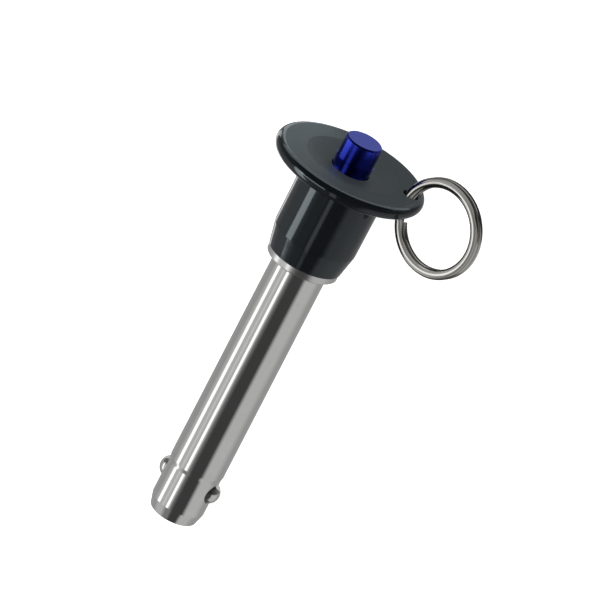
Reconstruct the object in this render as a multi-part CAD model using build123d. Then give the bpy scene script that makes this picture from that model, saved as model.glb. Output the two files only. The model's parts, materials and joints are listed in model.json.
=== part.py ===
"""Ball lock pin with a mushroom handle, push button and split ring.

Every piece is built in the pin's own frame: +Z runs up the pin's axis from the tip to the
button, z = 0 is the underside of the collar, and +X points at the hole for the split ring.
At the end the whole assembly is laid down on a level floor, where it rests on the rim of
the handle's flange and on the top edge of the tip's taper, with the ring on the floor.
All sizes are in millimetres.
"""

from build123d import *
from math import asin, atan, atan2, cos, degrees, hypot, radians, sin, sqrt, tan
import os

# --- shank -----------------------------------------------------------------------------
SHANK_DIAMETER = 12.0
GRIP_LENGTH = 50.0            # collar underside to the near edge of the balls' reach
BEARING_OVERRUN = 0.4         # how far the full diameter runs on past the grip
NOSE_RELIEF = 0.18            # how much less the shank's radius is on the nose
NOSE_LEAD = 0.9               # length of the slope from the full diameter to the nose
BALL_SETBACK = 4.1            # end of the grip to the balls' centres
TIP_LENGTH = 8.4              # balls' centres to the end of the tip
TIP_TAPER_LENGTH = 2.7
TIP_TAPER_ANGLE = 14.0        # degrees off the axis
TIP_EDGE_BREAK = 0.2
COLLAR_DIAMETER = 15.8
COLLAR_THICKNESS = 1.65
COLLAR_EDGE = 0.25            # bevel round the collar's lower edge
SPIGOT_DIAMETER = 11.2        # part of the shank that is pressed into the handle
SPIGOT_LENGTH = 7.4
SPIGOT_LEAD = 0.4

# --- locking balls ---------------------------------------------------------------------
BALL_DIAMETER = 5.0
BALL_SPREAD = 14.5            # over both balls, locked
BALL_SUNK = 0.05              # how far the balls sink below the shank's surface, released
BALL_AZIMUTH = -16.0          # degrees, from the ring's hole to the first ball
STAKE_RING_DIAMETER = 5.5     # coined recess round each ball hole
STAKE_RING_DEPTH = 0.12

# --- handle ----------------------------------------------------------------------------
HANDLE_HEIGHT = 22.95
FOOT_DIAMETER = 16.2
FOOT_TAPER_HEIGHT = 5.0
BODY_LOW_DIAMETER = 18.2
BODY_TOP_DIAMETER = 18.5
BODY_FILLET = 0.5             # where the body meets the flange
FLANGE_DIAMETER = 33.4
FLANGE_THICKNESS = 2.8        # the rim is a full round of this thickness
DISH_TO_HOLE = 1.35           # flat land from the dish to the split ring's hole
DISH_DEPTH = 1.1
TOP_WALL = 2.2                # from the dish's floor down to the button's stop

# --- button ----------------------------------------------------------------------------
BUTTON_RISE = 5.9             # above the flange's top
BUTTON_DIAMETER = 8.1
BUTTON_BEAD_DIAMETER = 8.4
BUTTON_BEAD_DROP = 4.7        # button's top to the bead's sharp upper edge
BUTTON_BEAD_HEIGHT = 1.9
BUTTON_BEVEL = 0.3
BUTTON_TRAVEL = 4.5
SHOULDER_HEIGHT = 2.2
SPRING_SEAT_DIAMETER = 6.4    # keeps the spring centred under the shoulder
SPRING_SEAT_LENGTH = 1.0

# --- spindle ---------------------------------------------------------------------------
SPINDLE_END_RECESS = 0.4      # spindle's end inside the tip with the button pressed
SPINDLE_TENON_DIAMETER = 3.0
SPINDLE_TENON_LENGTH = 5.0
SHOULDER_CONE_ANGLE = 45.0    # degrees, upper end of the waist
SPINDLE_BREAK = 0.3

# --- return spring ---------------------------------------------------------------------
SPRING_WIRE = 0.7
SPRING_MEAN_DIAMETER = 7.8
SPRING_TURNS = 6.5

# --- split ring and its hole -------------------------------------------------------------
HOLE_DIAMETER = 3.3
HOLE_INSET = 3.3              # flange's edge to the hole's centre
HOLE_BEVEL = 0.15
RING_OUTER_DIAMETER = 21.1
RING_WIRE_WIDTH = 2.15        # oval wire, across the ring's face
RING_WIRE_THICKNESS = 1.2     # along the ring's axis
RING_TURN_GAP = 0.06          # between the two turns
RING_DROOP = 0.6              # how far the ring's middle hangs below the flange's middle
RING_BEND_HALF_ANGLE = 8.0    # the step from one turn to the next, each side of its middle
RING_BEND_AZIMUTH = 196.0     # where the step lies, degrees round the ring
RING_END_GAP_ANGLE = 2.5      # between a cut end and the step
HOLE_ABOVE_BOTTOM = 44.0      # degrees up the flange from the floor to the ring's hole

# --- clearances ------------------------------------------------------------------------
RUN_CLEARANCE = 0.05          # radial, between pieces that slide
BALL_CLEARANCE = 0.05
SEAT_CLEARANCE = 0.01         # between pieces pressed together
STOP_CLEARANCE = 0.02         # between a piece and the stop it rests against

# --- worked out ------------------------------------------------------------------------
shank_r = SHANK_DIAMETER / 2
nose_r = shank_r - NOSE_RELIEF
ball_r = BALL_DIAMETER / 2
ball_out = BALL_SPREAD / 2 - ball_r
ball_in = nose_r - BALL_SUNK - ball_r
ball_travel = ball_out - ball_in
ball_z = -(GRIP_LENGTH + BALL_SETBACK)
tip_z = ball_z - TIP_LENGTH
land_r = ball_out - ball_r - BALL_CLEARANCE
waist_r = ball_in - ball_r - BALL_CLEARANCE
bore_r = land_r + RUN_CLEARANCE
ramp_angle = degrees(atan(ball_travel / BUTTON_TRAVEL))

flange_top_z = COLLAR_THICKNESS + HANDLE_HEIGHT
flange_mid_z = flange_top_z - FLANGE_THICKNESS / 2
rim_r = FLANGE_THICKNESS / 2
rim_circle_r = FLANGE_DIAMETER / 2 - rim_r
dish_z = flange_top_z - DISH_DEPTH
stop_z = dish_z - TOP_WALL
spigot_z = COLLAR_THICKNESS + SPIGOT_LENGTH
socket_r = SPIGOT_DIAMETER / 2 + SEAT_CLEARANCE
opening_r = BUTTON_BEAD_DIAMETER / 2 + RUN_CLEARANCE

shoulder_top_z = stop_z - STOP_CLEARANCE
shoulder_low_z = shoulder_top_z - SHOULDER_HEIGHT
seat_z = shoulder_low_z - SPRING_SEAT_LENGTH
button_top_z = flange_top_z + BUTTON_RISE
button_body_r = BUTTON_DIAMETER / 2

hole_x = FLANGE_DIAMETER / 2 - HOLE_INSET
dish_r = hole_x - HOLE_DIAMETER / 2 - DISH_TO_HOLE
ring_mid_r = (RING_OUTER_DIAMETER - RING_WIRE_WIDTH) / 2
ring_pitch = RING_WIRE_THICKNESS + RING_TURN_GAP
ring_centre_z = flange_mid_z - RING_DROOP
# the wire is centred in the hole halfway between its places at the hole's two mouths
_mouths = (RING_DROOP + rim_r, RING_DROOP - rim_r)
ring_reach = sum(sqrt(ring_mid_r**2 - mouth**2) for mouth in _mouths) / 2


def turned(*points) -> Solid:
    """Revolve a closed outline of (radius, height) points about the pin's axis."""
    outline = Polyline(*[(radius, 0, height) for radius, height in points], close=True)
    return revolve(make_face(outline), Axis.Z)


def across(diameter: float, start: float, end: float, azimuth: float, height: float) -> Part:
    """A cylinder square to the axis, from one distance off the axis to another."""
    rod = Cylinder(diameter / 2, end - start, align=(Align.CENTER, Align.CENTER, Align.MIN))
    return Rot(0, 0, azimuth) * Pos(start, 0, height) * Rot(0, 90, 0) * rod


# --- pieces ----------------------------------------------------------------------------
def make_shank() -> Part:
    """Shank, collar and spigot in one, bored through and cross-drilled for the balls."""
    taper_r = nose_r - TIP_TAPER_LENGTH * tan(radians(TIP_TAPER_ANGLE))
    bearing_z = -(GRIP_LENGTH + BEARING_OVERRUN)
    collar_r = COLLAR_DIAMETER / 2
    spigot_r = SPIGOT_DIAMETER / 2
    shank = turned(
        (bore_r, tip_z),
        (taper_r - TIP_EDGE_BREAK, tip_z),
        (taper_r, tip_z + TIP_EDGE_BREAK),
        (nose_r, tip_z + TIP_TAPER_LENGTH),
        (nose_r, bearing_z - NOSE_LEAD),
        (shank_r, bearing_z),
        (shank_r, 0),
        (collar_r - COLLAR_EDGE, 0),
        (collar_r, COLLAR_EDGE),
        (collar_r, COLLAR_THICKNESS),
        (spigot_r, COLLAR_THICKNESS),
        (spigot_r, spigot_z - SPIGOT_LEAD),
        (spigot_r - SPIGOT_LEAD, spigot_z),
        (bore_r, spigot_z),
    )
    coin = coined_rim()
    pocket = BALL_DIAMETER + 2 * BALL_CLEARANCE
    for azimuth in (BALL_AZIMUTH, BALL_AZIMUTH + 180):
        shank -= across(pocket, 0, ball_out, azimuth, ball_z)
        shank -= Rot(0, 0, azimuth) * Pos(ball_out, 0, ball_z) * Sphere(pocket / 2)
        shank -= Rot(0, 0, azimuth) * Pos(0, 0, ball_z) * coin
    return shank


def coined_rim() -> Part:
    """What the staking punch presses in round a ball's hole, for a hole towards +X at z = 0.

    It is deepest level with the ball's middle and runs out above and below it.
    """
    half = STAKE_RING_DIAMETER / 2
    floor = ThreePointArc((nose_r, -half), (nose_r - STAKE_RING_DEPTH, 0), (nose_r, half))
    sides = Polyline((nose_r, half), (0, half), (0, -half), (nose_r, -half))
    left_whole = revolve(Plane.YZ * make_face(floor + sides), Axis.Z)
    return across(STAKE_RING_DIAMETER, nose_r / 2, 2 * nose_r, 0, 0) - left_whole


def make_handle() -> Part:
    """Mushroom handle: tapered foot, body, round-rimmed flange and dished top."""
    foot_r = FOOT_DIAMETER / 2
    low_r = BODY_LOW_DIAMETER / 2
    top_r = BODY_TOP_DIAMETER / 2
    flange_low_z = flange_top_z - FLANGE_THICKNESS
    with BuildPart() as handle:
        with BuildSketch(Plane.XZ):
            with BuildLine():
                Polyline(
                    (rim_circle_r, flange_low_z),
                    (top_r, flange_low_z),
                    (low_r, COLLAR_THICKNESS + FOOT_TAPER_HEIGHT),
                    (foot_r, COLLAR_THICKNESS),
                    (socket_r, COLLAR_THICKNESS),
                    (socket_r, stop_z),
                    (opening_r, stop_z),
                    (opening_r, dish_z),
                    (dish_r, flange_top_z),
                    (rim_circle_r, flange_top_z),
                )
                rim_outer = (rim_circle_r + rim_r, flange_mid_z)
                ThreePointArc((rim_circle_r, flange_top_z), rim_outer, (rim_circle_r, flange_low_z))
            make_face()
        revolve(axis=Axis.Z)
        corner = handle.edges().filter_by(GeomType.CIRCLE)
        corner = corner.filter_by(lambda edge: abs(edge.center().Z - flange_low_z) < 1e-6)
        fillet(corner.filter_by(lambda edge: abs(edge.radius - top_r) < 1e-6), BODY_FILLET)
    hole = Pos(hole_x, 0, flange_mid_z) * Cylinder(HOLE_DIAMETER / 2, 2 * FLANGE_THICKNESS)
    drilled = handle.part - hole
    mouths = drilled.edges().filter_by(GeomType.CIRCLE)
    mouths = mouths.filter_by(lambda edge: abs(edge.radius - HOLE_DIAMETER / 2) < 1e-6)
    return chamfer(mouths, HOLE_BEVEL)


def make_button() -> Part:
    """Push button: bevelled top, low bead, stop shoulder, spring seat, socket for the spindle."""
    bead_r = BUTTON_BEAD_DIAMETER / 2
    bead_z = button_top_z - BUTTON_BEAD_DROP
    shoulder_r = socket_r - RUN_CLEARANCE
    socket = SPINDLE_TENON_DIAMETER / 2 + SEAT_CLEARANCE
    return turned(
        (0, button_top_z),
        (button_body_r - BUTTON_BEVEL, button_top_z),
        (button_body_r, button_top_z - BUTTON_BEVEL),
        (button_body_r, bead_z),
        (bead_r, bead_z),
        (button_body_r, bead_z - BUTTON_BEAD_HEIGHT),
        (button_body_r, shoulder_top_z),
        (shoulder_r, shoulder_top_z),
        (shoulder_r, shoulder_low_z),
        (SPRING_SEAT_DIAMETER / 2, shoulder_low_z),
        (SPRING_SEAT_DIAMETER / 2, seat_z),
        (socket, seat_z),
        (socket, seat_z + SPINDLE_TENON_LENGTH + SEAT_CLEARANCE),
        (0, seat_z + SPINDLE_TENON_LENGTH + SEAT_CLEARANCE),
    )


def make_spindle() -> Part:
    """Spindle: land under the balls, ramp, thin waist, rod and the tenon in the button."""
    reach = ball_r + BALL_CLEARANCE
    ramp_low_z = ball_z - reach * tan(radians(ramp_angle / 2))
    ramp_top_z = ramp_low_z + BUTTON_TRAVEL
    cone_low_z = ball_z + BUTTON_TRAVEL + reach * tan(radians(SHOULDER_CONE_ANGLE / 2))
    cone_top_z = cone_low_z + (land_r - waist_r) / tan(radians(SHOULDER_CONE_ANGLE))
    end_z = tip_z + BUTTON_TRAVEL + SPINDLE_END_RECESS
    tenon_r = SPINDLE_TENON_DIAMETER / 2
    tenon_z = seat_z + SPINDLE_TENON_LENGTH
    return turned(
        (0, end_z),
        (land_r - SPINDLE_BREAK, end_z),
        (land_r, end_z + SPINDLE_BREAK),
        (land_r, ramp_low_z),
        (waist_r, ramp_top_z),
        (waist_r, cone_low_z),
        (land_r, cone_top_z),
        (land_r, seat_z),
        (tenon_r, seat_z),
        (tenon_r, tenon_z - SPINDLE_BREAK),
        (tenon_r - SPINDLE_BREAK, tenon_z),
        (0, tenon_z),
    )


def make_spring() -> Part:
    """Compression spring between the spigot's end and the button's shoulder, ends ground flat."""
    low_z = spigot_z + STOP_CLEARANCE
    length = shoulder_low_z - STOP_CLEARANCE - low_z
    middle_r = SPRING_MEAN_DIAMETER / 2
    pitch = length / SPRING_TURNS
    coil = Pos(0, 0, low_z) * Helix(pitch, length, middle_r)
    wire = sweep(Plane(coil @ 0, z_dir=coil % 0) * Circle(SPRING_WIRE / 2), coil, is_frenet=True)
    for end_z, side in ((low_z, Align.MAX), (low_z + length, Align.MIN)):
        box = Box(4 * middle_r, 4 * middle_r, 4 * SPRING_WIRE, align=(Align.CENTER, Align.CENTER, side))
        wire -= Pos(0, 0, end_z) * box
    return wire


def make_ball(azimuth: float) -> Part:
    """One locking ball in its hole, pushed out by the spindle's land."""
    return Rot(0, 0, azimuth) * Pos(ball_out, 0, ball_z) * Sphere(ball_r)


def ring_turn(start: float, height: float) -> tuple[Part, Curve]:
    """One turn of the split ring from an angle round it, and the turn's centre line.

    The wire's section stands square to the turn with its width across the ring's face, and
    the turn stops a small gap short of where the step passes it.
    """
    extent = 360 - 2 * RING_BEND_HALF_ANGLE - RING_END_GAP_ANGLE
    line = Pos(0, 0, height) * CenterArc((0, 0, 0), ring_mid_r, start, extent)
    outward = Vector(1, 0).rotate(Axis.Z, start)
    oval = Ellipse(RING_WIRE_WIDTH / 2, RING_WIRE_THICKNESS / 2)
    section = Plane(line @ 0, x_dir=outward, z_dir=line % 0) * oval
    return revolve(section, Axis.Z, extent), line


def ring_frame(swing: float) -> Location:
    """Place of the ring's own frame at a swing, in degrees round the hole from straight out."""
    hinge = Pos(hole_x, 0, ring_centre_z) * Rot(0, 0, swing)
    return hinge * Pos(ring_reach, 0, 0) * Rot(90, 0, 0)


def make_ring(swing: float) -> Part:
    """Split ring of two turns of oval wire, through the hole in the flange.

    In the ring's own plane one turn lies half a pitch below the middle and the other half a
    pitch above it, and a short step joins the end of the first to the start of the second.
    """
    bend = RING_BEND_HALF_ANGLE
    low, low_line = ring_turn(RING_BEND_AZIMUTH + bend + RING_END_GAP_ANGLE, -ring_pitch / 2)
    high, high_line = ring_turn(RING_BEND_AZIMUTH + bend, ring_pitch / 2)
    middle = Vector(ring_mid_r, 0).rotate(Axis.Z, RING_BEND_AZIMUTH)
    rise = Spline(low_line @ 1, middle, high_line @ 0, tangents=(low_line % 1, high_line % 0))
    outward = (low_line @ 1) + Vector(0, 0, ring_pitch / 2)
    oval = Ellipse(RING_WIRE_WIDTH / 2, RING_WIRE_THICKNESS / 2)
    section = Plane(low_line @ 1, x_dir=outward, z_dir=low_line % 1) * oval
    return ring_frame(swing) * (low + sweep(section, rise) + high)


# --- how it lies -----------------------------------------------------------------------
def lying_tilt() -> float:
    """Angle of the axis off level when flange rim and tip edge both touch the floor.

    With the rim's circle of centres at (z, r) and the tip's edge at its own (z, r), the line
    between them makes an angle a with the axis, and the floor makes a + asin(rim_r / length).
    """
    rise = rim_circle_r - nose_r
    run = flange_mid_z - (tip_z + TIP_TAPER_LENGTH)
    return degrees(atan2(rise, run) + asin(rim_r / hypot(rise, run)))


def ring_height(swing: float, tilt: float) -> float:
    """Height of the ring's lowest point over the floor at a swing.

    With q the part of up in the ring's plane and p the part along its axis, a turn of middle
    radius m in oval wire of half width a and half thickness b reaches down from its centre by
    m q + sqrt((a q)^2 + (b p)^2), and its centre is half a pitch along the axis.
    """
    up_azimuth = radians(180 + HOLE_ABOVE_BOTTOM)
    slope = radians(tilt)
    up = Vector(cos(slope) * cos(up_azimuth), cos(slope) * sin(up_azimuth), sin(slope))
    out = Vector(1, 0, 0).rotate(Axis.Z, swing)
    side = Vector(0, 1, 0).rotate(Axis.Z, swing)
    centre = Vector(hole_x, 0, ring_centre_z) + out * ring_reach
    in_plane = hypot(up.dot(out), up.Z)
    along = abs(side.dot(up))
    floor = flange_mid_z * sin(slope) - rim_circle_r * cos(slope) - rim_r
    wire = hypot(RING_WIRE_WIDTH / 2 * in_plane, RING_WIRE_THICKNESS / 2 * along)
    lowest = centre.dot(up) - ring_mid_r * in_plane - wire - ring_pitch / 2 * along
    return lowest - floor


def ring_rest_swing(tilt: float) -> float:
    """Swing at which the ring just lies on the floor, found by halving the interval."""
    raised, lowered = -90.0, 0.0
    for _ in range(40):
        middle = (raised + lowered) / 2
        if ring_height(middle, tilt) > 0:
            raised = middle
        else:
            lowered = middle
    return raised


def laid_down(tilt: float) -> Location:
    """Turn that lays the pin on the floor: handle towards +X, tip towards -X."""
    return Rot(0, 90 - tilt, 0) * Rot(0, 0, -HOLE_ABOVE_BOTTOM)


def build() -> tuple[dict, Location, float]:
    """Make every piece, lay the assembly down and put the origin under its middle.

    Returns the pieces by name, the place of the pin's own frame and the ring's swing.
    """
    tilt = lying_tilt()
    swing = ring_rest_swing(tilt)
    pieces = {
        "shank": make_shank(),
        "handle": make_handle(),
        "push_button": make_button(),
        "spindle": make_spindle(),
        "return_spring": make_spring(),
        "ring_side_ball": make_ball(BALL_AZIMUTH),
        "far_side_ball": make_ball(BALL_AZIMUTH + 180),
        "split_ring": make_ring(swing),
    }
    lay = laid_down(tilt)
    lying = {name: lay * piece for name, piece in pieces.items()}
    box = Compound(children=[Part() + piece for piece in lying.values()]).bounding_box()
    shift = Pos(-box.center().X, -box.center().Y, -box.min.Z)
    return {name: shift * piece for name, piece in lying.items()}, shift * lay, swing


def main() -> None:
    """Write one STEP file for each piece."""
    pieces, place, swing = build()
    os.makedirs("parts", exist_ok=True)
    for name, piece in pieces.items():
        export_step(piece, f"parts/{name}.step")
    print(f"tilt {lying_tilt():.3f}, ring swing {swing:.3f}")


if __name__ == "__main__":
    main()
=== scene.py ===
"""Looks of the ball lock pin: finishes for every piece, studio light, floor and camera.

The pin lies on the floor. All places are worked out in the pin's own frame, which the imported
record gives: its origin is on the axis at the collar's underside, z runs from the tip to the
button, and x points at the hole for the split ring.
"""
import json
import logging
from dataclasses import dataclass
from enum import Enum
from math import cos, pi, radians, sin

import bmesh
import bpy
import numpy as np
from mathutils import Matrix, Vector


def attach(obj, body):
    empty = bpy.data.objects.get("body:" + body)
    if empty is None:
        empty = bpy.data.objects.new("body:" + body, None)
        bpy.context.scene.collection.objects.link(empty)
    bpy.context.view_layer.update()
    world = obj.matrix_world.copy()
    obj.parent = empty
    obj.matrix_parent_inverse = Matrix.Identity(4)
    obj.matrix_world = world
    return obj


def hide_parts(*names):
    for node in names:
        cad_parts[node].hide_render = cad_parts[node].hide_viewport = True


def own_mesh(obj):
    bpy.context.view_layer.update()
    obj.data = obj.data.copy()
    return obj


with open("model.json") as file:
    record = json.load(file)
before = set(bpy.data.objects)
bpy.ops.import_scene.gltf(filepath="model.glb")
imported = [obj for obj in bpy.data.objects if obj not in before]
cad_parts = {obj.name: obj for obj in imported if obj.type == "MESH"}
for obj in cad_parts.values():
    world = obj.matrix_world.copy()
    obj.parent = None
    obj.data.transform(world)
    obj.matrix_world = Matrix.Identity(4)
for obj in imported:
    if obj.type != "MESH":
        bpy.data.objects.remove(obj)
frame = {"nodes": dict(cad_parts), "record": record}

log = logging.getLogger("ball_lock_pin")
MM = 0.001


# --- the pin's own frame -----------------------------------------------------------------
@dataclass(frozen=True)
class PinFrame:
    """The pin's own frame, as a point and three unit vectors in the row frame."""

    origin: Vector
    x: Vector
    y: Vector
    z: Vector

    @classmethod
    def from_record(cls, record: dict) -> "PinFrame":
        """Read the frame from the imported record.

        Args:
            record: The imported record, with its mounts and joints.

        Returns:
            The frame: z against the grip's axis, origin where the collar's plane cuts the
            pin's axis, x square to z towards the hinge of the split ring.
        """
        mounts = {mount["name"]: mount for mount in record["mounts"]}
        joints = {joint["name"]: joint for joint in record["behaviour"]["joints"]}
        z = -Vector(mounts["grip"]["axis"]).normalized()
        on_axis = Vector(mounts["grip"]["pos_m"])
        on_collar = Vector(mounts["collar_seat"]["pos_m"])
        origin = on_axis + z * (on_collar - on_axis).dot(z)
        out = Vector(joints["ring_swing"]["pos_m"]) - origin
        x = (out - z * out.dot(z)).normalized()
        return cls(origin, x, z.cross(x), z)

    def point(self, x: float, y: float, z: float) -> Vector:
        """Turn a place in the pin's frame, in metres, into the row frame."""
        return self.origin + self.direction(x, y, z)

    def direction(self, x: float, y: float, z: float) -> Vector:
        """Turn a direction in the pin's frame into the row frame."""
        return self.x * x + self.y * y + self.z * z

    def around(self, azimuth: float, elevation: float) -> Vector:
        """Direction away from the pin's axis towards a viewer.

        Args:
            azimuth: Degrees round the axis from the viewer's side (-y) towards +x.
            elevation: Degrees from square to the axis towards the button.

        Returns:
            A unit vector in the row frame.
        """
        turn, rise = radians(azimuth), radians(elevation)
        return self.direction(sin(turn) * cos(rise), -cos(turn) * cos(rise), sin(rise))

    def reach(self, node: str) -> tuple[float, float, float]:
        """Lowest and highest place along the axis and largest radius of a CAD node, in metres.

        A vertex p has height (p - origin) . z, and its radius is what is left of it square
        to the axis.
        """
        mesh = frame["nodes"][node].data
        points = np.empty(len(mesh.vertices) * 3)
        mesh.vertices.foreach_get("co", points)
        points = points.reshape(-1, 3) - np.array(self.origin)
        height = points @ np.array(self.z)
        radius = np.linalg.norm(points - height[:, None] * np.array(self.z), axis=1)
        return float(height.min()), float(height.max()), float(radius.max())


# --- camera ------------------------------------------------------------------------------
@dataclass(frozen=True)
class CameraRig:
    """A long lens that looks down on the lying pin, square to its hole's side."""

    elevation: float = 22.4
    lean: float = 27.4
    distance: float = 4.0
    lens_mm: float = 1170.0
    sensor_mm: float = 36.0
    far_clip: float = 20.0
    aim_x: float = 3.134 * MM
    aim_z: float = -7.363 * MM

    def build(self, pin: PinFrame) -> bpy.types.Object:
        """Make the camera and make it the scene's camera.

        Args:
            pin: The pin's frame.

        Returns:
            The camera. Its up direction leans so that the pin's axis runs up and to the
            right by the lean angle.
        """
        back = pin.around(0.0, self.elevation)
        across = pin.x
        along = back.cross(across)
        lean = radians(self.lean)
        right = across * cos(lean) + along * sin(lean)
        up = along * cos(lean) - across * sin(lean)
        place = pin.point(self.aim_x, 0.0, self.aim_z) + back * self.distance
        data = bpy.data.cameras.new("camera")
        data.sensor_width = self.sensor_mm
        data.lens = self.lens_mm
        data.clip_end = self.far_clip
        camera = bpy.data.objects.new("camera", data)
        turn = Matrix((right, up, back)).transposed().to_4x4()
        camera.matrix_world = Matrix.Translation(place) @ turn
        bpy.context.scene.collection.objects.link(camera)
        bpy.context.scene.camera = camera
        return camera


# --- studio ------------------------------------------------------------------------------
@dataclass(frozen=True)
class Softbox:
    """One rectangular lamp, placed round the pin and turned to face it.

    Azimuth and elevation are as in PinFrame.around. Width is round the axis and height is
    along it. Radiance is the brightness of its face. Only the nodes in lights are lit by it,
    and where past_others is set, only they stop its light, so that it reaches a piece that
    stands behind another.
    """

    name: str
    azimuth: float
    elevation: float
    distance: float
    width: float
    height: float
    radiance: float
    lights: tuple[str, ...]
    aim_z: float = 0.0
    past_others: bool = False
    tone: tuple[float, float, float] = (1.0, 1.0, 1.0)

    def build(self, pin: PinFrame) -> bpy.types.Object:
        """Make the lamp.

        Args:
            pin: The pin's frame.

        Returns:
            The lamp's object. A face of area A with power P has the brightness P / (pi A).
        """
        data = bpy.data.lights.new(self.name, "AREA")
        data.shape = "RECTANGLE"
        data.size, data.size_y = self.width, self.height
        data.color = self.tone
        data.energy = self.radiance * pi * self.width * self.height
        lamp = bpy.data.objects.new(self.name, data)
        back = pin.around(self.azimuth, self.elevation)
        across = pin.direction(cos(radians(self.azimuth)), sin(radians(self.azimuth)), 0.0)
        along = back.cross(across)
        turn = Matrix((across, along, back)).transposed().to_4x4()
        place = pin.point(0.0, 0.0, self.aim_z) + back * self.distance
        lamp.matrix_world = Matrix.Translation(place) @ turn
        bpy.context.scene.collection.objects.link(lamp)
        lit = bpy.data.collections.new(self.name + "_lights")
        for node in self.lights:
            lit.objects.link(frame["nodes"][node])
        lamp.light_linking.receiver_collection = lit
        if self.past_others:
            lamp.light_linking.blocker_collection = lit
        lamp.visible_camera = False
        return lamp


COOL = (0.84, 0.95, 1.0)
STEEL_NODES = ("shank", "spindle", "ring_side_ball", "far_side_ball")
HANDLE = ("handle",)
BUTTON = ("push_button",)
RING = ("split_ring",)
FLANGE_Z = 0.0232
FLANGE_TOP_Z = 0.0246
BUTTON_Z = 0.03


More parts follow.
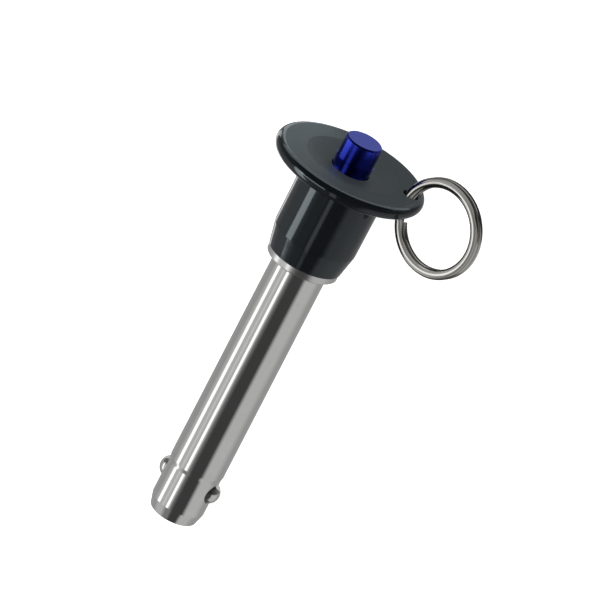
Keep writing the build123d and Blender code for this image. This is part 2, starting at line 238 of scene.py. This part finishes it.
@dataclass(frozen=True)
class Studio:
    """Floor, surroundings and lamps.

    Surroundings are a soft room that mirror rays see: a grey back, a bright wall on the left
    and on the right, and a dark opening between them in front. One set of stops is for rays
    that run towards the tip and one for rays that run towards the button, and the room is dark
    round the axis past either end. Each stop is (degrees round from the viewer's side,
    brightness).
    """

    floor_size: float = 4.0
    floor_shade: float = 0.92
    floor_roughness: float = 0.9
    fill: float = 0.6
    floor_light: float = 1.7
    floor_light_height: float = 1.5
    low_room: tuple[tuple[float, float], ...] = (
        (-180.0, 0.4), (-110.0, 0.4), (-90.0, 0.6), (-60.0, 0.6), (-40.0, 0.25), (-20.0, 0.25),
        (-5.0, 0.06), (35.0, 0.06), (50.0, 0.6), (90.0, 0.6), (120.0, 0.4), (180.0, 0.4),
    )
    high_room: tuple[tuple[float, float], ...] = (
        (-180.0, 0.14), (-120.0, 0.2), (-70.0, 0.10), (-30.0, 0.03), (30.0, 0.03),
        (80.0, 0.10), (120.0, 0.2), (180.0, 0.14),
    )
    turn_height: tuple[float, float] = (-0.05, 0.2)
    cap_height: tuple[float, float] = (0.64, 0.78)
    cap_shade: float = 0.03
    foot_height: tuple[float, float] = (-0.80, -0.93)
    foot_shade: float = 0.08

    def build(self, pin: PinFrame) -> None:
        """Make the floor, the surroundings and the lamps.

        Args:
            pin: The pin's frame.
        """
        self.light_floor(self.build_floor())
        self.build_room(pin)
        for lamp in self.lamps():
            lamp.build(pin)

    def lamps(self) -> list[Softbox]:
        """The studio's lamps, by the pieces that they light.

        Returns:
            Lamps for the steel, the handle with its flange, the button and the split ring.
        """
        return [
            Softbox("left_strip", -78.0, -18.0, 0.6, 0.14, 0.6, 1.1, STEEL_NODES),
            Softbox("front_strip", -32.0, -18.0, 0.6, 0.10, 0.6, 1.2, STEEL_NODES),
            Softbox("steel_fill", -38.0, -18.0, 0.62, 0.36, 0.6, 0.28, STEEL_NODES),
            Softbox("steel_back", 180.0, 30.0, 0.6, 1.5, 0.8, 0.5, STEEL_NODES, 0.0, True),
            Softbox("handle_strip", -64.0, -10.0, 0.6, 0.19, 0.7, 3.8, HANDLE),
            Softbox("handle_glow", -5.0, -14.0, 0.6, 0.10, 0.7, 0.85, HANDLE),
            Softbox("handle_back", -150.0, -10.0, 0.6, 0.12, 0.7, 1.6, HANDLE, 0.0, True),
            Softbox("rim_line", -41.0, 7.0, 0.6, 0.50, 0.12, 5.0, HANDLE, FLANGE_Z, True),
            Softbox("flange_glow", -155.0, 20.0, 0.036, 0.02, 0.02, 1.1, HANDLE,
                    FLANGE_TOP_Z, True, COOL),
            Softbox("flange_sky", 178.0, 24.0, 0.6, 0.6, 0.36, 0.30, HANDLE,
                    FLANGE_TOP_Z, True, COOL),
            Softbox("end_sky", 180.0, 50.0, 0.6, 0.9, 0.28, 1.2, HANDLE + BUTTON,
                    FLANGE_TOP_Z, True, COOL),
            Softbox("button_top", 180.0, 22.0, 0.6, 0.4, 0.3, 0.45, BUTTON, BUTTON_Z, True, COOL),
            Softbox("button_end", 180.0, 74.0, 0.6, 0.5, 0.5, 0.4, BUTTON, BUTTON_Z, True),
            Softbox("button_strip", -33.0, -12.0, 0.5, 0.16, 0.6, 0.55, BUTTON, BUTTON_Z, True),
            Softbox("button_side", -84.0, 2.0, 0.05, 0.04, 0.05, 1.2, BUTTON, 0.029, True),
            Softbox("button_fill", 62.0, -5.0, 0.05, 0.09, 0.05, 0.06, BUTTON, 0.028, True),
            Softbox("ring_streak", -58.0, -22.0, 0.6, 0.17, 0.17, 1.0, RING, FLANGE_Z, True),
            Softbox("ring_fill", 12.0, -18.0, 0.6, 0.75, 0.9, 0.3, RING, FLANGE_Z, True),
            Softbox("ring_top", -50.0, 32.0, 0.6, 0.8, 0.6, 0.35, RING, FLANGE_Z, True),
        ]

    def light_floor(self, floor: bpy.types.Object) -> None:
        """A wide lamp over the floor, for the floor alone.

        Args:
            floor: The floor.
        """
        data = bpy.data.lights.new("floor_light", "AREA")
        data.size = self.floor_size
        data.energy = self.floor_light * pi * self.floor_size ** 2
        lamp = bpy.data.objects.new("floor_light", data)
        lamp.location = (0.0, 0.0, self.floor_light_height)
        lamp.visible_camera = False
        bpy.context.scene.collection.objects.link(lamp)
        lit = bpy.data.collections.new("floor_light_lights")
        lit.objects.link(floor)
        lamp.light_linking.receiver_collection = lit
        lamp.light_linking.blocker_collection = lit

    def build_floor(self) -> bpy.types.Object:
        """Make the plain pale floor under the pin and give it."""
        half = self.floor_size / 2
        mesh = bpy.data.meshes.new("floor")
        corners = [(-half, -half, 0), (half, -half, 0), (half, half, 0), (-half, half, 0)]
        mesh.from_pydata(corners, [], [(0, 1, 2, 3)])
        material = bpy.data.materials.new("floor")
        material.use_nodes = True
        shader = material.node_tree.nodes["Principled BSDF"]
        shade = self.floor_shade
        shader.inputs["Base Color"].default_value = (shade, shade, shade, 1)
        shader.inputs["Roughness"].default_value = self.floor_roughness
        shader.inputs["Specular IOR Level"].default_value = 0.0
        mesh.materials.append(material)
        floor = bpy.data.objects.new("floor", mesh)
        bpy.context.scene.collection.objects.link(floor)
        floor.visible_glossy = False
        return floor

    def build_room(self, pin: PinFrame) -> None:
        """Surroundings: a plain white fill, and the banded room for mirror rays.

        The angle round the axis is atan2(d . x, d . -y) of a ray's direction d, and its
        height is d . z. Ramps turn them into brightness.

        Args:
            pin: The pin's frame.
        """
        world = bpy.data.worlds.new("studio")
        world.use_nodes = True
        bpy.context.scene.world = world
        world.cycles.sampling_method = "NONE"
        tree = world.node_tree
        tree.nodes.clear()
        link = tree.links.new
        place = tree.nodes.new("ShaderNodeTexCoord")

        def along(vector: Vector) -> bpy.types.NodeSocket:
            """Part of the ray's direction along a vector."""
            node = tree.nodes.new("ShaderNodeVectorMath")
            node.operation = "DOT_PRODUCT"
            link(place.outputs["Generated"], node.inputs[0])
            node.inputs[1].default_value = vector
            return node.outputs["Value"]

        def wall(stops: tuple[tuple[float, float], ...]) -> bpy.types.NodeSocket:
            """Brightness round the axis from a set of stops."""
            ramp = tree.nodes.new("ShaderNodeValToRGB")
            link(turn.outputs[0], ramp.inputs["Fac"])
            marks = ramp.color_ramp.elements
            while len(marks) < len(stops):
                marks.new(0.5)
            for mark, (degrees_round, bright) in zip(marks, stops):
                mark.position = degrees_round / 360 + 0.5
                mark.color = (bright, bright, bright, 1)
            return ramp.outputs["Color"]

        def blend(
            span: tuple[float, float], low: bpy.types.NodeSocket, high: bpy.types.NodeSocket | float
        ) -> bpy.types.NodeSocket:
            """Go smoothly from one brightness to another over a span of the ray's height."""
            step = tree.nodes.new("ShaderNodeMapRange")
            step.interpolation_type = "SMOOTHSTEP"
            link(height, step.inputs["Value"])
            step.inputs["From Min"].default_value, step.inputs["From Max"].default_value = span
            mix = tree.nodes.new("ShaderNodeMix")
            mix.data_type = "RGBA"
            link(step.outputs["Result"], mix.inputs["Factor"])
            link(low, mix.inputs[6])
            if isinstance(high, float):
                mix.inputs[7].default_value = (high, high, high, 1)
            else:
                link(high, mix.inputs[7])
            return mix.outputs[2]

        height = along(pin.z)
        angle = tree.nodes.new("ShaderNodeMath")
        angle.operation = "ARCTAN2"
        link(along(pin.x), angle.inputs[0])
        link(along(-pin.y), angle.inputs[1])
        turn = tree.nodes.new("ShaderNodeMath")
        turn.operation = "MULTIPLY_ADD"
        link(angle.outputs[0], turn.inputs[0])
        turn.inputs[1].default_value = 1 / (2 * pi)
        turn.inputs[2].default_value = 0.5
        walls = blend(self.turn_height, wall(self.low_room), wall(self.high_room))
        mirror = tree.nodes.new("ShaderNodeBackground")
        capped = blend(self.cap_height, walls, self.cap_shade)
        link(blend(self.foot_height, capped, self.foot_shade), mirror.inputs["Color"])
        fill = tree.nodes.new("ShaderNodeBackground")
        fill.inputs["Color"].default_value = (1, 1, 1, 1)
        rays = tree.nodes.new("ShaderNodeLightPath")
        strength = tree.nodes.new("ShaderNodeMapRange")
        strength.inputs["To Min"].default_value = self.fill
        strength.inputs["To Max"].default_value = 1.0
        link(rays.outputs["Is Camera Ray"], strength.inputs["Value"])
        link(strength.outputs["Result"], fill.inputs["Strength"])
        mix = tree.nodes.new("ShaderNodeMixShader")
        link(rays.outputs["Is Glossy Ray"], mix.inputs["Fac"])
        link(fill.outputs[0], mix.inputs[1])
        link(mirror.outputs[0], mix.inputs[2])
        out = tree.nodes.new("ShaderNodeOutputWorld")
        link(mix.outputs[0], out.inputs["Surface"])


# --- effects shared by the finishes ------------------------------------------------------
class NodeTree:
    """Short ways to add nodes to a material's or a group's tree."""

    def __init__(self, tree: bpy.types.NodeTree) -> None:
        """Keep the tree."""
        self.tree = tree

    def add(self, kind: str, inputs: dict | None = None, **settings: object) -> bpy.types.Node:
        """Add a node.

        Args:
            kind: The node's type name.
            inputs: What goes in each input, by name or place: a socket or a plain value.
            settings: Properties of the node.

        Returns:
            The node.
        """
        node = self.tree.nodes.new(kind)
        for name, value in settings.items():
            setattr(node, name, value)
        for name, value in (inputs or {}).items():
            if isinstance(value, bpy.types.NodeSocket):
                self.tree.links.new(value, node.inputs[name])
            else:
                node.inputs[name].default_value = value
        return node

    def math(self, operation: str, *values: bpy.types.NodeSocket | float) -> bpy.types.NodeSocket:
        """Add a Math node and give its result."""
        return self.add("ShaderNodeMath", dict(enumerate(values)), operation=operation).outputs[0]

    def dot(self, vector: bpy.types.NodeSocket, other: object) -> bpy.types.NodeSocket:
        """Give the dot product of two vectors."""
        node = self.add("ShaderNodeVectorMath", {0: vector, 1: other}, operation="DOT_PRODUCT")
        return node.outputs["Value"]


def shared_group(
    name: str, inputs: dict[str, tuple[str, float]], outputs: tuple[str, ...]
) -> tuple[NodeTree, bpy.types.Node, bpy.types.Node]:
    """Start a shader node group with named sockets.

    Args:
        name: The group's name.
        inputs: Each input's socket type (Float or Vector) and starting value.
        outputs: Names of the outputs, all plain values.

    Returns:
        The group's tree, its input node and its output node.
    """
    tree = bpy.data.node_groups.new(name, "ShaderNodeTree")
    for socket, (kind, start) in inputs.items():
        made = tree.interface.new_socket(socket, in_out="INPUT", socket_type="NodeSocket" + kind)
        if kind == "Float":
            made.default_value = start
    for socket in outputs:
        tree.interface.new_socket(socket, in_out="OUTPUT", socket_type="NodeSocketFloat")
    kit = NodeTree(tree)
    return kit, kit.add("NodeGroupInput"), kit.add("NodeGroupOutput")


class Effects:
    """The node groups that the finishes share, each made once.

    Noise scales are per metre, apart from level_scale, which is per millimetre of height plus
    radius. A span is the range of noise or distance over which a mark fades.
    """

    patch_scale = 420.0
    level_scale = 0.35
    smear_scale = 90.0
    speck_scale = 2600.0
    speck_span = (0.02, 0.22)
    seldom_scale = 700.0
    seldom_span = (0.55, 0.7)
    wear_scale = 650.0
    wear_span = (0.35, 0.65)

    def __init__(self, pin: PinFrame) -> None:
        """Make the groups.

        Args:
            pin: The pin's frame, which the patterns follow.
        """
        self.pin = pin
        self.axis_place = self.make_axis_place()
        self.turning = self.make_turning()
        self.handling = self.make_handling()
        self.edge_wear = self.make_edge_wear()

    def make_axis_place(self) -> bpy.types.NodeTree:
        """Height along the pin's axis and radius from it, in millimetres.

        Height is (p - origin) . z, and radius is the length of what is left of p - origin
        when height z is taken away.
        """
        kit, given, out = shared_group("axis_place", {"Position": ("Vector", 0.0)}, ("Height", "Radius"))
        away = kit.add("ShaderNodeVectorMath", {0: given.outputs["Position"], 1: self.pin.origin},
                       operation="SUBTRACT").outputs[0]
        height = kit.dot(away, self.pin.z)
        rise = kit.add("ShaderNodeVectorMath", {0: self.pin.z, "Scale": height}, operation="SCALE")
        left = kit.add("ShaderNodeVectorMath", {0: away, 1: rise.outputs[0]}, operation="SUBTRACT")
        radius = kit.add("ShaderNodeVectorMath", {0: left.outputs[0]}, operation="LENGTH")
        kit.tree.links.new(kit.math("MULTIPLY", height, 1 / MM), out.inputs["Height"])
        kit.tree.links.new(kit.math("MULTIPLY", radius.outputs["Value"], 1 / MM), out.inputs["Radius"])
        return kit.tree

    def make_turning(self) -> bpy.types.NodeTree:
        """Fine lines round the axis, left by the cutting tool or the grinding wheel.

        Noise of height + radius, so the lines run round walls and round flat faces alike, is
        broken up a little along each line by noise of the place.
        """
        inputs = {"Position": ("Vector", 0.0), "Height": ("Float", 0.0), "Radius": ("Float", 0.0),
                  "Lines per mm": ("Float", 4.0), "Break-up": ("Float", 0.3)}
        kit, given, out = shared_group("turning_lines", inputs, ("Lines", "Level"))
        along = kit.math("ADD", given.outputs["Height"], given.outputs["Radius"])
        fine = kit.add("ShaderNodeTexNoise", {"W": along, "Scale": given.outputs["Lines per mm"],
                                              "Detail": 4.0, "Roughness": 0.65}, noise_dimensions="1D")
        patch = kit.add("ShaderNodeTexNoise", {"Vector": given.outputs["Position"], "Scale": self.patch_scale,
                                               "Detail": 2.0})
        change = kit.math("MULTIPLY", kit.math("SUBTRACT", patch.outputs["Fac"], 0.5),
                          given.outputs["Break-up"])
        lines = kit.math("ADD", fine.outputs["Fac"], change)
        kit.tree.links.new(lines, out.inputs["Lines"])
        broad = kit.add("ShaderNodeTexNoise", {"W": along, "Scale": self.level_scale, "Detail": 2.0},
                        noise_dimensions="1D")
        kit.tree.links.new(broad.outputs["Fac"], out.inputs["Level"])
        return kit.tree

    def make_handling(self) -> bpy.types.NodeTree:
        """Soft smears from handling, and small specks of dust and pits."""
        inputs = {"Position": ("Vector", 0.0), "Smear Scale": ("Float", self.smear_scale),
                  "Speck Scale": ("Float", self.speck_scale)}
        kit, given, out = shared_group("handling_marks", inputs, ("Smears", "Specks"))
        smear = kit.add("ShaderNodeTexNoise", {"Vector": given.outputs["Position"],
                                               "Scale": given.outputs["Smear Scale"], "Detail": 4.0,
                                               "Roughness": 0.6, "Distortion": 0.6})
        speck = kit.add("ShaderNodeTexVoronoi", {"Vector": given.outputs["Position"],
                                                 "Scale": given.outputs["Speck Scale"]})
        near = kit.add("ShaderNodeMapRange", {"Value": speck.outputs["Distance"],
                                              "From Min": self.speck_span[0],
                                              "From Max": self.speck_span[1],
                                              "To Min": 1.0, "To Max": 0.0})
        seldom = kit.add("ShaderNodeTexNoise", {"Vector": given.outputs["Position"],
                                                  "Scale": self.seldom_scale})
        some = kit.add("ShaderNodeMapRange", {"Value": seldom.outputs["Fac"],
                                              "From Min": self.seldom_span[0],
                                              "From Max": self.seldom_span[1]})
        kit.tree.links.new(smear.outputs["Fac"], out.inputs["Smears"])
        kit.tree.links.new(kit.math("MULTIPLY", near.outputs[0], some.outputs[0]), out.inputs["Specks"])
        return kit.tree

    def make_edge_wear(self) -> bpy.types.NodeTree:
        """Rubbed band round a turned edge at a given height and radius.

        The mask is 1 on the edge and falls to 0 at the given width from it, and noise breaks
        it up: 1 - sqrt((height - h)^2 + (radius - r)^2) / width, times the noise.
        """
        inputs = {"Position": ("Vector", 0.0), "Height": ("Float", 0.0), "Radius": ("Float", 0.0),
                  "Edge Height": ("Float", 0.0), "Edge Radius": ("Float", 0.0), "Width": ("Float", 0.3),
                  "Break-up": ("Float", 0.5)}
        kit, given, out = shared_group("edge_wear", inputs, ("Mask",))
        drop = kit.math("SUBTRACT", given.outputs["Height"], given.outputs["Edge Height"])
        gap = kit.math("SUBTRACT", given.outputs["Radius"], given.outputs["Edge Radius"])
        far = kit.math("SQRT", kit.math("ADD", kit.math("MULTIPLY", drop, drop),
                                        kit.math("MULTIPLY", gap, gap)))
        band = kit.add("ShaderNodeMapRange", {"Value": far, "From Min": 0.0,
                                              "From Max": given.outputs["Width"],
                                              "To Min": 1.0, "To Max": 0.0},
                       interpolation_type="SMOOTHSTEP")
        noise = kit.add("ShaderNodeTexNoise", {"Vector": given.outputs["Position"],
                                               "Scale": self.wear_scale, "Detail": 3.0})
        worn = kit.add("ShaderNodeMapRange", {"Value": noise.outputs["Fac"],
                                              "From Min": self.wear_span[0],
                                              "From Max": self.wear_span[1]})
        kept = kit.math("MULTIPLY", kit.math("SUBTRACT", 1.0, worn.outputs[0]), given.outputs["Break-up"])
        mask = kit.math("MULTIPLY", band.outputs[0], kit.math("SUBTRACT", 1.0, kept))
        kit.tree.links.new(mask, out.inputs["Mask"])
        return kit.tree


# --- finishes ----------------------------------------------------------------------------
class Lay(Enum):
    """Which way fine machining lines run."""

    ROUND = "round the axis"
    NONE = "none"


@dataclass(frozen=True)
class Edge:
    """A turned edge that is rubbed: its height and radius on the pin, in millimetres."""

    height: float
    radius: float
    width: float = 0.3


@dataclass(frozen=True)
class Satin:
    """A duller part of a turned piece: all above a height and inside a radius, in millimetres.

    It fades in over the fades either side of that height and radius.
    """

    height: float
    radius: float
    roughness: float
    height_fade: float = 0.1
    radius_fade: float = 0.15


@dataclass(frozen=True)
class Finish:
    """A metal finish: colours, gloss, fine machining lines, handling marks and worn edges."""

    name: str
    color: tuple[float, float, float]
    worn_color: tuple[float, float, float]
    metallic: float = 1.0
    roughness: float = 0.2
    line_roughness: float = 0.04
    smear_roughness: float = 0.03
    tone_spread: float = 0.06
    lay: Lay = Lay.NONE
    lines_per_mm: float = 3.0
    break_up: float = 0.3
    speck_roughness: float = 0.08
    line_height: float = 1.0e-6
    coat: float = 0.0
    coat_roughness: float = 0.08
    specular: float = 0.5
    wear: float = 0.5
    edges: tuple[Edge, ...] = ()
    satins: tuple[Satin, ...] = ()
    tint: tuple[float, float, float] = (1.0, 1.0, 1.0)

    def build(self, effects: Effects) -> bpy.types.Material:
        """Make the material.

        Args:
            effects: The shared node groups.

        Returns:
            The material. Roughness is the finish's own, plus a part of the lines and of the
            smears. Colour is the finish's own, a little lighter or darker by the smears and
            lines, and goes over to the worn colour on rubbed edges.
        """
        material = bpy.data.materials.new(self.name)
        material.use_nodes = True
        kit = NodeTree(material.node_tree)
        shader = material.node_tree.nodes["Principled BSDF"]
        shader.inputs["Metallic"].default_value = self.metallic
        shader.inputs["Specular IOR Level"].default_value = self.specular
        shader.inputs["Specular Tint"].default_value = (*self.tint, 1)
        shader.inputs["Coat Weight"].default_value = self.coat
        shader.inputs["Coat Roughness"].default_value = self.coat_roughness
        position = kit.add("ShaderNodeTexCoord").outputs["Object"]
        place = self.group(kit, effects.axis_place, {"Position": position})
        at = {"Position": position, "Height": place.outputs["Height"], "Radius": place.outputs["Radius"]}
        turning = self.group(kit, effects.turning, {**at, "Lines per mm": self.lines_per_mm,
                                                    "Break-up": self.break_up})
        marks = self.group(kit, effects.handling, {"Position": position})
        smears = kit.math("SUBTRACT", marks.outputs["Smears"], 0.5)
        lines = kit.math("SUBTRACT", turning.outputs["Lines"], 0.5)
        level = kit.math("SUBTRACT", turning.outputs["Level"], 0.5)
        rough = kit.math("MULTIPLY_ADD", lines, 2 * self.line_roughness, self.roughness)
        rough = kit.math("MULTIPLY_ADD", smears, 2 * self.smear_roughness, rough)
        rough = kit.math("MULTIPLY_ADD", marks.outputs["Specks"], self.speck_roughness, rough)
        for satin in self.satins:
            above = kit.add("ShaderNodeMapRange", {"Value": place.outputs["Height"],
                                                   "From Min": satin.height - satin.height_fade,
                                                   "From Max": satin.height + satin.height_fade})
            inside = kit.add("ShaderNodeMapRange", {"Value": place.outputs["Radius"],
                                                    "From Min": satin.radius + satin.radius_fade,
                                                    "From Max": satin.radius - satin.radius_fade})
            share = kit.math("MULTIPLY", above.outputs[0], inside.outputs[0])
            rough = kit.math("MULTIPLY_ADD", share, satin.roughness - self.roughness, rough)
        tone = kit.math("MULTIPLY_ADD", smears, self.tone_spread, 1.0)
        tone = kit.math("MULTIPLY_ADD", lines, self.tone_spread, tone)
        tone = kit.math("MULTIPLY_ADD", level, self.tone_spread, tone)
        tinted = kit.add("ShaderNodeVectorMath", {0: self.color, "Scale": tone}, operation="SCALE")
        color = tinted.outputs[0]
        for edge in self.edges:
            mask = self.group(kit, effects.edge_wear, {**at, "Edge Height": edge.height,
                                                       "Edge Radius": edge.radius, "Width": edge.width})
            worn = kit.math("MULTIPLY", mask.outputs["Mask"], self.wear)
            mixed = kit.add("ShaderNodeMix", {"Factor": worn, 6: color, 7: (*self.worn_color, 1)},
                            data_type="RGBA")
            color = mixed.outputs[2]
        kit.tree.links.new(color, shader.inputs["Base Color"])
        kit.tree.links.new(rough, shader.inputs["Roughness"])
        if self.lay is Lay.ROUND:
            bump = kit.add("ShaderNodeBump", {"Strength": 1.0, "Distance": self.line_height,
                                              "Height": turning.outputs["Lines"]})
            kit.tree.links.new(bump.outputs["Normal"], shader.inputs["Normal"])
        return material

    @staticmethod
    def group(kit: NodeTree, tree: bpy.types.NodeTree, inputs: dict) -> bpy.types.Node:
        """Place a shared group in a material's tree."""
        node = kit.add("ShaderNodeGroup", node_tree=tree)
        for name, value in inputs.items():
            if isinstance(value, bpy.types.NodeSocket):
                kit.tree.links.new(value, node.inputs[name])
            else:
                node.inputs[name].default_value = value
        return node


STEEL = (0.66, 0.66, 0.65)
BRIGHT_STEEL = (0.8, 0.8, 0.79)


# --- sub-assemblies ----------------------------------------------------------------------
def dress(nodes: tuple[str, ...], finish: Finish, effects: Effects) -> None:
    """Make a finish once and put it on CAD nodes.

    Args:
        nodes: The nodes' names.
        finish: Their finish.
        effects: The shared node groups.
    """
    material = finish.build(effects)
    for node in nodes:
        slots = frame["nodes"][node].data.materials
        slots.clear()
        slots.append(material)
        log.info("%s in %s", node, finish.name)


@dataclass(frozen=True)
class LockingEnd:
    """Ground shank with collar, spindle and the two locking balls."""

    roughness: float = 0.09
    ball_roughness: float = 0.07
    tip_edge_radius: float = 5.1
    collar_satin: Satin = Satin(-0.05, 9.0, 0.25)

    def build(self, effects: Effects) -> None:
        """Dress the shank, spindle and balls.

        Args:
            effects: The shared node groups.
        """
        low, _, collar_r = effects.pin.reach("shank")
        edges = (Edge(0.0, collar_r / MM, 0.35), Edge(low / MM, self.tip_edge_radius, 0.35))
        ground = Finish("ground_steel", STEEL, BRIGHT_STEEL, roughness=self.roughness, lay=Lay.ROUND,
                        line_roughness=0.03, smear_roughness=0.02, edges=edges,
                        satins=(self.collar_satin,))
        polished = Finish("polished_ball_steel", STEEL, BRIGHT_STEEL, roughness=self.ball_roughness,
                          line_roughness=0.0, smear_roughness=0.02)
        dress(("shank", "spindle"), ground, effects)
        dress(("ring_side_ball", "far_side_ball"), polished, effects)


@dataclass(frozen=True)
class Handle:
    """Black anodised mushroom handle and blue push button."""

    black: tuple[float, float, float] = (0.0045, 0.0055, 0.0065)
    black_worn: tuple[float, float, float] = (0.05, 0.054, 0.058)
    cool: tuple[float, float, float] = (0.82, 0.95, 1.0)
    blue: tuple[float, float, float] = (0.016, 0.03, 0.42)
    blue_worn: tuple[float, float, float] = (0.06, 0.09, 0.5)
    foot_edge_radius: float = 8.1
    button_edge_radius: float = 3.85
    satin_depth: float = 1.5
    satin_radius: float = 15.3
    satin_roughness: float = 0.5

    def build(self, effects: Effects) -> None:
        """Dress the handle and the button.

        Args:
            effects: The shared node groups.
        """
        low, top, _ = effects.pin.reach("handle")
        _, button_top, _ = effects.pin.reach("push_button")
        flange_top = Satin(top / MM - self.satin_depth, self.satin_radius, self.satin_roughness)
        black = Finish("turned_black_anodised", self.black, self.black_worn, metallic=0.0, roughness=0.1,
                       lay=Lay.ROUND, line_height=6.0e-7, tone_spread=0.3, wear=0.6,
                       edges=(Edge(low / MM, self.foot_edge_radius, 0.25),),
                       satins=(flange_top,), tint=self.cool)
        blue = Finish("turned_blue_anodised", self.blue, self.blue_worn, roughness=0.22, lay=Lay.ROUND,
                      line_height=6.0e-7, tone_spread=0.15, coat=0.15, wear=0.5,
                      edges=(Edge(button_top / MM, self.button_edge_radius, 0.3),))
        dress(("handle",), black, effects)
        dress(("push_button",), blue, effects)


@dataclass(frozen=True)
class ReturnSpring:
    """Coil spring inside the handle. On the real pin it shortens as the button is pressed; this coil keeps
    its length.
    """

    wire: float = 0.7 * MM
    turns: float = 6.5
    steps_per_turn: int = 48
    steps_round_wire: int = 16
    joint: str = "button_press"
    color: tuple[float, float, float] = (0.5, 0.5, 0.5)
    roughness: float = 0.3

    def coil(self, pin: PinFrame, low: float, high: float, radius: float) -> bpy.types.Object:
        """Make the coil with ends ground flat.

        A point at s along the wire and t round it has the angle a = 2 pi turns s, the radius
        R + r cos t and the height low + (high - low) s + r sin t, where R is the coil's mean
        radius and r the wire's. Heights stop at low and high, which grinds the ends flat.

        Args:
            pin: The pin's frame.
            low: Height of the lower end on the pin's axis, in metres.
            high: Height of the upper end.
            radius: The coil's outer radius.

        Returns:
            The coil, a closed tube of quads with a cap on each end.
        """
        along = int(self.turns * self.steps_per_turn) + 1
        share, turn = np.meshgrid(np.linspace(0, 1, along),
                                  np.linspace(0, 2 * pi, self.steps_round_wire, endpoint=False),
                                  indexing="ij")
        angle = 2 * pi * self.turns * share
        reach = radius - self.wire / 2 + self.wire / 2 * np.cos(turn)
        height = np.clip(low + (high - low) * share + self.wire / 2 * np.sin(turn), low, high)
        sides = np.array((pin.x, pin.y, pin.z))
        parts = np.stack((reach * np.cos(angle), reach * np.sin(angle), height), axis=-1)
        points = parts.reshape(-1, 3) @ sides + np.array(pin.origin)
        count = self.steps_round_wire
        ring, step = np.meshgrid(np.arange(along - 1), np.arange(count), indexing="ij")
        here, after = ring * count + step, ring * count + (step + 1) % count
        quads = np.stack((here, after, after + count, here + count), axis=-1).reshape(-1, 4)
        caps = [list(range(count)), list(range(along * count - 1, (along - 1) * count - 1, -1))]
        mesh = bpy.data.meshes.new("return_spring_coil")
        mesh.from_pydata(points.tolist(), [], quads.tolist() + caps)
        tidy = bmesh.new()
        tidy.from_mesh(mesh)
        bmesh.ops.recalc_face_normals(tidy, faces=tidy.faces)
        tidy.to_mesh(mesh)
        tidy.free()
        mesh.shade_smooth()
        piece = bpy.data.objects.new("return_spring_coil", mesh)
        bpy.context.scene.collection.objects.link(piece)
        return piece

    def build(self, effects: Effects) -> None:
        """Make the coil in the node's place and dress it; it keeps its length when the button moves.

        Args:
            effects: The shared node groups.
        """
        low, high, radius = effects.pin.reach("return_spring")
        piece = self.coil(effects.pin, low, high, radius)
        finish = Finish("drawn_spring_steel", self.color, STEEL, roughness=self.roughness)
        piece.data.materials.append(finish.build(effects))
        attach(piece, "pin")
        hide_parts("return_spring")
        effects.pin.point(0.0, 0.0, low)
        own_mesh(piece)


@dataclass(frozen=True)
class SplitRing:
    """Split ring of plated oval wire."""

    color: tuple[float, float, float] = (0.55, 0.54, 0.51)
    roughness: float = 0.1

    def build(self, effects: Effects) -> None:
        """Dress the ring.

        Args:
            effects: The shared node groups.
        """
        plated = Finish("plated_ring_wire", self.color, BRIGHT_STEEL, roughness=self.roughness,
                        line_roughness=0.0, smear_roughness=0.03)
        dress(("split_ring",), plated, effects)


def main() -> None:
    """Build the studio and dress every piece."""
    logging.basicConfig(level=logging.INFO, format="%(name)s: %(message)s")
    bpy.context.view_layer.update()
    pin = PinFrame.from_record(frame["record"])
    bpy.context.scene.view_settings.view_transform = "Standard"
    CameraRig().build(pin)
    Studio().build(pin)
    effects = Effects(pin)
    for part in (LockingEnd(), Handle(), ReturnSpring(), SplitRing()):
        part.build(effects)
        log.info("%s done", type(part).__name__)


if __name__ == "__main__":
    main()
